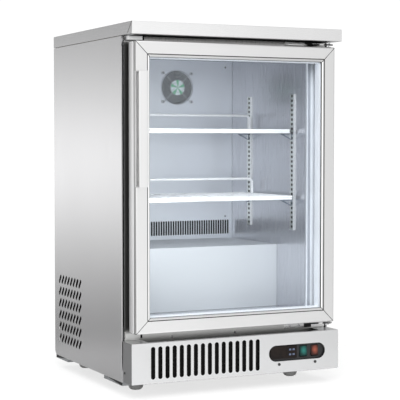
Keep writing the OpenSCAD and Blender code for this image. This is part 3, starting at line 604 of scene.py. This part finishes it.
def refine(node, fold, rim, looks, paint=None, cuts=()):
    """Replaces a CAD node with a copy that has rounded folds and rims.

    looks are its materials, and paint picks a face's number among them. Each cut is a point
    and a normal of a plane that parts the faces it meets, so that paint can treat them apart.
    """
    mesh = whole_faced(node)
    soften(mesh, fold, rim)
    for point, normal in cuts:
        geometry = mesh.verts[:] + mesh.edges[:] + mesh.faces[:]
        bmesh.ops.bisect_plane(mesh, geom=geometry, plane_co=point, plane_no=normal)
    if paint:
        mesh.normal_update()
        for face in mesh.faces:
            face.material_index = paint(face)
    piece = as_piece(mesh, node + "_formed", body_of(node), looks)
    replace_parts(piece, node)
    return piece


def dress(node, look):
    """Gives a carried-over CAD node its material."""
    materials = frame["nodes"][node].data.materials
    materials.clear()
    materials.append(look)


def dress_faces(node, looks, choose):
    """Gives each face of a carried-over CAD node one of several materials, by its normal and centre."""
    data = frame["nodes"][node].data
    data.materials.clear()
    for look in looks:
        data.materials.append(look)
    for polygon in data.polygons:
        polygon.material_index = choose(polygon.normal, polygon.center)


def swept_frame(profile, low, high):
    """A closed profile swept round an upright rectangle with mitred corners.

    The rectangle runs from low to high in X and Z. Each profile point is a distance in from the
    rectangle's edge and a Y position.
    """
    mesh = bmesh.new()
    corners = ((low.x, low.z, 1, 1), (high.x, low.z, -1, 1), (high.x, high.z, -1, -1), (low.x, high.z, 1, -1))
    rings = [
        [mesh.verts.new((x + inset * toward_x, y, z + inset * toward_z)) for inset, y in profile]
        for x, z, toward_x, toward_z in corners
    ]
    count = len(profile)
    for i, ring in enumerate(rings):
        following = rings[(i + 1) % 4]
        for j in range(count):
            k = (j + 1) % count
            mesh.faces.new((ring[j], ring[k], following[k], following[j]))
    bmesh.ops.recalc_face_normals(mesh, faces=mesh.faces)
    return mesh


# ---- Casing ----


def turned_to_compartment(normal, centre):
    """Faces of the foam that close off the machine compartment, or show in a joint of the casing, painted
    black as shade.
    """
    return int(normal.z < -0.5 or normal.y < -0.5 or abs(normal.x) > 0.5
               or centre.z < box("compressor_step")[1].z)


# The liner behind the duct panel is painted black as shade.
def behind_duct(normal, centre):
    return int(centre.y > box("duct_panel")[1].y)


def faces_down(normal, centre):
    return int(normal.z < -0.5)


def worktop_face(face):
    """Top, front and back, and side lips, in copies of one steel painted lighter or darker by the way they
    face, and the dark seams of the folded corners.
    """
    edge = box("worktop")[1].x
    sunk = edge - abs(face.calc_center_median().x)
    normal = face.normal
    if 0.2 * MM < sunk < 1.0 * MM and abs(normal.z) < 0.9 and (abs(normal.x) > 0.9 or abs(normal.x) < 0.1):
        return 3
    if abs(normal.x) > 0.7:
        return 2
    return 1 if abs(normal.y) > 0.7 else 0


def door_face(node, outward):
    """Picks the dark faces of a door member: its mitres, and the joint beside the glazing bead."""
    low, high = box(node)
    axis = "xyz".index(outward[-1])
    edge = low[axis] if outward[0] == "-" else high[axis]

    def choose(face):
        normal, centre = face.normal, face.calc_center_median()
        if min(abs(normal.x), abs(normal.z)) > 0.6:
            return 1
        # The right stile's inward face beside the glass is painted black as shade and as the dark reflection
        # it would show.
        if outward == "+x" and normal.x < -0.8 and centre.y < low.y + 10 * MM:
            return 1
        # The front strip of the left stile's side takes the copy painted dark as shade.
        if outward == "-x" and normal.x < -0.6:
            return 2 if centre.y < low.y + DOOR_EDGE_W else 3
        in_joint = BEAD_JOINT[0] < abs(centre[axis] - edge) < BEAD_JOINT[1]
        return int(in_joint and 0.3 * MM < centre.y - low.y < 2.8 * MM)

    return choose


def make_casing(looks):
    def some(*names):
        return [looks[name] for name in names]

    refine("worktop", 1.6 * MM, 0.0, some("casing_level_painted_light", "casing_front_painted_light", "casing_lip_painted_shade", "joint_black_and_painted_shade"),
           paint=worktop_face)
    for node, side in (("left_side_panel", -1), ("right_side_panel", 1)):
        refine(node, 1.0 * MM, 0.0, some("casing_side", "joint_black_and_painted_shade"),
               paint=lambda face: skin_face(face, side))
    refine("back_panel", 0.0, 0.4 * MM, some("casing_side"))
    levels = (box("door_bottom_rail")[0].z, box("door_top_rail")[1].z)
    refine("front_frame", 1.0 * MM, 0.0, some("frame_face", "frame_upright_painted_shade", "liner_steel", "frame_below_door_painted_shade"),
           paint=frame_face, cuts=[(Vector((0, 0, level)), Vector((0, 0, 1))) for level in levels])
    refine("base_panel", 1.2 * MM, 0.0, some("panel_steel", "panel_return_painted_shade", "joint_black_and_painted_shade"),
           paint=base_panel_face)
    refine("corner_plates", 0.8 * MM, 0.0, some("panel_steel", "joint_black_and_painted_shade", "frame_below_door_painted_shade"), paint=plate_face)
    for node in ("top_hinge_bracket", "bottom_hinge_bracket"):
        right = box(node)[1].x
        cuts = [(Vector((right - from_end, 0, 0)), Vector((1, 0, 0))) for from_end in HINGE_WEB]
        refine(node, 0.6 * MM, 0.0, some("hinge_steel", "joint_black_and_painted_shade"), cuts=cuts,
               paint=lambda face: hinge_face(face, right))


def frame_face(face):
    """The top rail, the uprights beside the door in a copy of the steel painted dark as shade, the throat,
    and the rail below the door in another copy painted as shade.
    """
    if face.normal.y > -0.5:
        return 2
    height = face.calc_center_median().z
    if height < box("door_bottom_rail")[0].z:
        return 3
    return int(height < box("door_top_rail")[1].z)


def skin_face(face, side):
    """The inside of a side panel, and the cut edges of its vents, are painted black as shade."""
    low, high = box("left_side_panel")
    centre, normal = face.calc_center_median(), face.normal
    in_vents = low.y + 200 * MM < centre.y < high.y - 8 * MM and low.z + 20 * MM < centre.z < low.z + 320 * MM
    return int(normal.x * side < -0.5 or (in_vents and abs(normal.x) < 0.5))


def hinge_face(face, right):
    """The web of a hinge plate, between its fixing flange and its pin, is painted black as shadow."""
    return int(HINGE_WEB[1] < right - face.calc_center_median().x < HINGE_WEB[0])


def frame_block_face(normal, centre):
    """The base frame is bright where it shows below the side panels, and painted black as shade inside."""
    edge = box("base_frame")[1].x
    outward = centre.x * normal.x > 0 and abs(normal.x) > 0.5 and abs(centre.x) > edge - 4 * MM
    below = centre.z < box("left_side_panel")[0].z - 0.5 * MM
    return int(not (below and (outward or abs(normal.y) > 0.5 or normal.z < -0.5)))


def screw_face(normal, centre):
    """Screws in the base panel are painted near black as shade, the rest are plated."""
    return int(centre.y < box("front_frame")[0].y - 8 * MM and centre.z < 0.1)


def base_panel_face(face):
    """Front, side returns in a copy of the steel painted dark as shade, and the inside painted black as
    shade.
    """
    low, high = box("base_panel")
    centre, normal = face.calc_center_median(), face.normal
    middle = (low.x + high.x) / 2
    if normal.y > 0.5 or (normal.z > 0.5 and centre.z < high.z - 3 * MM) or normal.z < -0.5:
        return 2
    if abs(normal.x) > 0.7:
        return 1 if (centre.x - middle) * normal.x > 0 and abs(centre.x - middle) > high.x - 3 * MM else 2
    return 0


def plate_face(face):
    """The sunk joint near the right end of each blanking plate is painted black as the shadow the plate casts
    on the rail, and the lower plate takes a copy of the steel painted as shade.
    """
    right = box("corner_plates")[1].x
    centre = face.calc_center_median()
    if (right - 12 * MM < centre.x < right - 1 * MM and abs(face.normal.z) < 0.5
            and face.calc_area() < 45 * MM * MM and abs(face.normal.x) + abs(face.normal.y) > 0.9):
        return 1
    return 2 if centre.z < box("door_bottom_rail")[0].z and face.normal.z < 0.5 else 0


def dress_cabinet(looks):
    dress_faces("foam_insulation", (looks["foam"], looks["joint_black_and_painted_shade"]), turned_to_compartment)
    dress_faces("inner_liner", (looks["liner_steel"], looks["joint_black_and_painted_shade"]), behind_duct)
    dress_faces("base_frame", (looks["galvanised"], looks["joint_black_and_painted_shade"]), frame_block_face)
    dress_faces("case_screws", (looks["zinc"], looks["dark_screw"]), screw_face)
    # The board's underside is painted black as the shadow under the worktop's lip.
    dress_faces("worktop_board", (looks["chipboard"], looks["joint_black_and_painted_shade"]), faces_down)
    for look, nodes in {
        "casing_side": ["rear_service_grille"],
        "duct_painted_light": ["duct_panel"],
        "step_painted_light": ["compressor_step"],
        # The drip tray is painted black as shade in the machine compartment.
        "joint_black_and_painted_shade": ["drip_tray"],
        "zinc": ["hinge_pins"],
        "guard_wire": ["fan_guard"],
        "foot_steel": FEET,
        "strip_steel": PILASTERS,
        "clip_steel": ["shelf_clips"],
        "coated_wire": ["upper_shelf", "lower_shelf"],
        "motor_grey": ["evaporator_fan_motor", "condenser_fan_motor"],
        "plastic_black": ["evaporator_fan_blade", "condenser_fan_blade", "control_housing", "power_inlet"],
        "fin_aluminium": ["evaporator_coil"],
        "black_fins": ["condenser_coil"],
        "enamel_black": ["compressor"],
        "rubber": ["compressor_grommets"],
        "copper": ["refrigerant_pipes", "filter_drier"],
        "smoked": ["thermostat_body"],
        "green_lens": ["green_rocker"],
        "red_lens": ["red_rocker"],
        "key_plastic": KEYS,
        "glass": ["outer_glass", "inner_glass"],
        "spacer_bar": ["glass_spacer"],
        "nylon": ["door_bushes"],
    }.items():
        for node in nodes:
            dress(node, looks[look])


# ---- Door ----


def make_door(looks):
    uprights = [looks[name] for name in ("door_upright", "joint_black_and_painted_shade", "door_edge_painted_shade", "door_outer")]
    edge_cut = (Vector((0, box("door_left_stile")[0].y + DOOR_EDGE_W, 0)), Vector((0, 1, 0)))
    for node, outward in (("door_left_stile", "-x"), ("door_right_stile", "+x")):
        refine(node, 0.5 * MM, 0.0, uprights, paint=door_face(node, outward), cuts=[edge_cut])
    for node, outward in (("door_top_rail", "+z"), ("door_bottom_rail", "-z")):
        refine(node, 0.5 * MM, 0.0, [looks["door_level"], looks["joint_black_and_painted_shade"]],
               paint=door_face(node, outward))
    # Faces in the handle's recess, at its back and at its ends take the copy painted darker as shade.
    refine("door_handle", 0.8 * MM, 0.0, [looks["handle"], looks["handle_painted_shade"]],
           paint=lambda face: int(face.normal.x < -0.5 or face.normal.y > 0.5 or abs(face.normal.z) > 0.5))
    make_gasket(looks)
    make_glazing_seal(looks)


def make_gasket(looks):
    """The door's magnetic gasket: a flange, two bellows folds and the bar that meets the cabinet."""
    low, high = box("door_gasket")
    folds = (
        (1.0, 0.0), (15.0, 0.0), (15.4, 1.6), (12.6, 2.8), (13.3, 4.8), (12.2, 6.4), (13.3, 8.2), (12.5, 9.8),
        (12.8, 12.2), (12.2, 13.1), (3.0, 13.1), (2.3, 12.2), (2.6, 9.8), (1.8, 8.2), (2.9, 6.4), (1.8, 4.8),
        (2.5, 2.8), (0.6, 1.6),
    )
    profile = [(inset * MM, low.y + depth * MM) for inset, depth in folds]
    bellows = swept_frame(profile, low, high)
    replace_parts(as_piece(bellows, "gasket_bellows", "door", [looks["rubber"]]), "door_gasket")


def make_glazing_seal(looks):
    """The black lip seal between the outer pane and the bead of the door's frame."""
    low, high = box("outer_glass")
    lip = ((4.55, 0.05), (5.2, 0.05), (5.3, 0.4), (5.2, 1.1), (4.9, 1.7), (4.55, 1.8))
    profile = [(inset * MM, low.y - depth * MM) for inset, depth in lip]
    as_piece(swept_frame(profile, low, high), "glazing_seal", "door", [looks["rubber"]])


# ---- Storage space ----


def make_breaker(looks):
    """The pale plastic trim round the front of the storage space, between casing and liner."""
    low, high = box("inner_liner")
    face_y = box("front_frame")[0].y
    low = Vector((low.x + 1 * MM, 0, low.z + 1 * MM))
    high = Vector((high.x - 1 * MM, 0, high.z - 12 * MM))
    trim = ((0.7, 9.0), (0.7, -0.9), (0.0, -1.6), (-8.4, -1.6), (-8.8, -1.9), (-22.6, -1.9), (-23.6, -0.9),
            (-24.0, -0.1), (-0.3, -0.1))
    profile = [(inset * MM, face_y + depth * MM) for inset, depth in trim]
    mesh = swept_frame(profile, low, high)
    for face in mesh.faces:
        centre = face.calc_center_median()
        beside = abs(centre.x) > high.x and centre.z < high.z
        # The trim's top and its sides next to the liner take the copy painted darker as shade.
        face.material_index = int(centre.z > high.z or (beside and abs(centre.x) < high.x + 8.5 * MM))
    as_piece(mesh, "breaker_trim", "cabinet", [looks["breaker"], looks["breaker_painted_shade"]])


def make_strip_tapes(looks):
    """The dark foam tape that fills the back of each shelf strip, seen through its slots."""
    for node in PILASTERS:
        low, high = box(node)
        side = 1 if low.x + high.x > 0 else -1
        wall = max(abs(low.x), abs(high.x)) - 0.1 * MM
        mesh = bmesh.new()
        bmesh.ops.create_cube(mesh, size=1)
        size = Vector((high.x - low.x - 1.5 * MM, high.y - low.y - 3.0 * MM, high.z - low.z - 2 * MM))
        middle = Vector((side * (wall - size.x / 2), (low.y + high.y) / 2, (low.z + high.z) / 2))
        bmesh.ops.transform(mesh, matrix=Matrix.LocRotScale(middle, None, size), verts=mesh.verts)
        bmesh.ops.bevel(mesh, geom=mesh.edges[:], offset=0.8 * MM, segments=3, affect="EDGES")
        as_piece(mesh, node + "_tape", "cabinet", [looks["rubber"]])


def quilted_pad(name, looks, middle, across, up, out):
    """A black pad with a quilted face, 4 mm thick at its puffs, spanned by three vectors, put behind vents as
    painted shade.
    """
    mesh = bmesh.new()
    bmesh.ops.create_grid(mesh, x_segments=80, y_segments=64, size=0.5)
    places = [(vert, vert.co.copy()) for vert in mesh.verts]
    for vert, flat in places:
        puff = abs(math.sin(10 * math.pi * flat.x) * math.sin(8 * math.pi * flat.y))
        vert.co = middle + across * flat.x + up * flat.y + out * (2.5 * MM * puff)
    sunk = bmesh.ops.extrude_face_region(mesh, geom=mesh.faces[:])
    for vert in (item for item in sunk["geom"] if isinstance(item, bmesh.types.BMVert)):
        depth = (vert.co - middle).dot(out)
        vert.co -= out * (depth + 1.5 * MM)
    bmesh.ops.recalc_face_normals(mesh, faces=mesh.faces)
    as_piece(mesh, name, "cabinet", [looks["shade_felt"]])


def make_vent_shade_pads(looks):
    """Black pads behind the vents of the side panels and of the base panel, as painted shade behind the
    slots.
    """
    low, high = box("left_side_panel")
    for side, name in ((-1, "vent_pad_left"), (1, "vent_pad_right")):
        middle = Vector((side * (abs(low.x) - 6.0 * MM), high.y - VENT_MIDDLE[0], low.z + VENT_MIDDLE[1]))
        across, up = Vector((0, VENT_FIELD[0], 0)), Vector((0, 0, VENT_FIELD[1]))
        quilted_pad(name, looks, middle, across, up, Vector((side, 0, 0)))
    low, high = box("base_panel")
    right = box("control_housing")[0].x - 3 * MM
    left = low.x + 40 * MM
    middle = Vector(((left + right) / 2, low.y + 7 * MM, (low.z + high.z) / 2))
    across, up = Vector((right - left, 0, 0)), Vector((0, 0, BASE_VENT_H))
    quilted_pad("vent_pad_front", looks, middle, across, up, Vector((0, -1, 0)))


def make_hub_label(looks):
    """The round foil label on the fan guard's centre plate, with a pressed rim.

    Each row is a ring's radius and how far it stands out.
    """
    low, high = box("fan_guard")
    middle = (low + high) / 2
    face_y = low.y + HUB_SUNK
    turns = 64
    rows = ((22.0, 0.0), (22.0, 0.5), (21.3, 0.9), (20.4, 0.55), (19.6, 0.35), (10.0, 0.55), (0.0, 0.65))
    mesh = bmesh.new()
    rings = []
    for radius, rise in rows[:-1]:
        rings.append([
            mesh.verts.new((
                middle.x + radius * MM * math.cos(math.tau * turn / turns),
                face_y - rise * MM,
                middle.z + radius * MM * math.sin(math.tau * turn / turns),
            ))
            for turn in range(turns)
        ])
    top = mesh.verts.new((middle.x, face_y - rows[-1][1] * MM, middle.z))
    for turn in range(turns):
        after = (turn + 1) % turns
        for inner, outer in zip(rings[1:], rings):
            mesh.faces.new((outer[turn], outer[after], inner[after], inner[turn]))
        mesh.faces.new((rings[-1][turn], rings[-1][after], top))
    bmesh.ops.recalc_face_normals(mesh, faces=mesh.faces)
    as_piece(mesh, "fan_label", "cabinet", [looks["hub_label"]])


# ---- Scene ----

scene = bpy.context.scene
scene.view_settings.view_transform = "Standard"
scene.cycles.transparent_max_bounces = 32
add_camera()
light_studio()
LOOKS = make_materials()
dress_cabinet(LOOKS)
make_casing(LOOKS)
make_door(LOOKS)
make_breaker(LOOKS)
make_strip_tapes(LOOKS)
make_vent_shade_pads(LOOKS)
make_hub_label(LOOKS)
